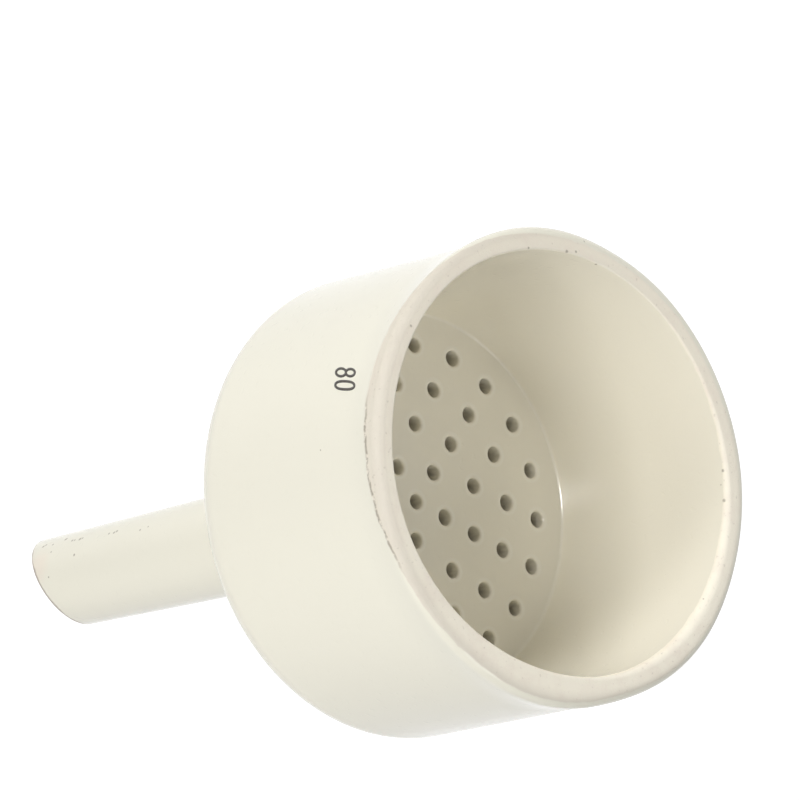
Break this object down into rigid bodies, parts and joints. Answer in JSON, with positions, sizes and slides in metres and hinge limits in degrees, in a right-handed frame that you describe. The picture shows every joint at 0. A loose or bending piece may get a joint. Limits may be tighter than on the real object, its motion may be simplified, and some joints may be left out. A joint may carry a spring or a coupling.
{
  "type": "porcelain filter funnel",
  "caption": "Round porcelain filter funnel: flared cup with a flat perforated plate, base cone and tapered stem cut off at a slant; filters under suction, its stem held in a flask's bung.",
  "frame": {"origin": "on the funnel's axis where the base cone meets the stem, where a bung's top comes", "axes": "+Z along the axis from stem to mouth, up in use; the stem's slanted end has its long side at -X and its short side at +X"},
  "size_m": [0.092, 0.092, 0.158],
  "materials": {
    "porcelain": "glossy cream-white glaze, bare fired rim and stem end",
    "print": "dark size number fired onto the wall"
  },
  "bodies": {
    "root": {"funnel_body": "porcelain"}
  },
  "joints": []
}
